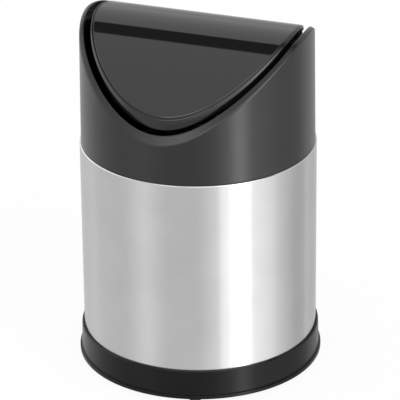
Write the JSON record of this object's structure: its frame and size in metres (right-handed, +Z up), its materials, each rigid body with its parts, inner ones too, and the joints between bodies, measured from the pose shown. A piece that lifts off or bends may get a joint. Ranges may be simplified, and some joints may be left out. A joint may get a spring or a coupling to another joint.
{
  "type": "countertop swing bin",
  "caption": "Small round steel bin with a plastic base ring, an inner bucket with a bail, and a tall hood whose roof-shaped lid swings both ways.",
  "frame": {"origin": "centre of the footprint, on the surface that the feet stand on", "axes": "+Z up, the front is -Y, and the lid's ridge and pivots lie along X"},
  "size_m": [0.1304, 0.1304, 0.1923],
  "materials": {
    "satin_steel": "satin, brushed round the can",
    "pan_steel": "mill finish",
    "ring_plastic": "fine matt texture",
    "foot_rubber": "matt",
    "bucket_plastic": "moulded, slightly waxy",
    "wire_steel": "bright plated wire",
    "grip_plastic": "matt",
    "hood_plastic": "satin",
    "panel_gloss": "high gloss",
    "frame_plastic": "satin",
    "pin_steel": "turned",
    "screw_steel": "zinc plated"
  },
  "bodies": {
    "can": {"steel_shell": "satin_steel", "bottom_pan": "pan_steel", "base_ring": "ring_plastic", "rubber_foot_1": "foot_rubber", "rubber_foot_2": "foot_rubber", "rubber_foot_3": "foot_rubber", "rubber_foot_4": "foot_rubber"},
    "bucket": {"inner_bucket": "bucket_plastic"},
    "bail": {"bail_wire": "wire_steel", "bail_grip": "grip_plastic"},
    "hood": {"hood": "hood_plastic"},
    "lid": {"lid_panel": "panel_gloss", "lid_frame": "frame_plastic", "left_pivot_pin": "pin_steel", "right_pivot_pin": "pin_steel", "lid_screws": "screw_steel"}
  },
  "joints": [
    {"name": "hood_lift", "type": "slide", "parent": "can", "child": "hood", "axis": [0, 0, 1], "range_m": [0, 0.1]},
    {"name": "lid_swing", "type": "hinge", "parent": "hood", "child": "lid", "pos_m": [0, 0, 0.1844], "axis": [1, 0, 0], "range_deg": [-75, 75]},
    {"name": "bucket_lift", "type": "slide", "parent": "can", "child": "bucket", "axis": [0, 0, 1], "range_m": [0, 0.03]},
    {"name": "bail_swing", "type": "hinge", "parent": "bucket", "child": "bail", "pos_m": [0, 0, 0.1028], "axis": [1, 0, 0], "range_deg": [0, 180]}
  ]
}
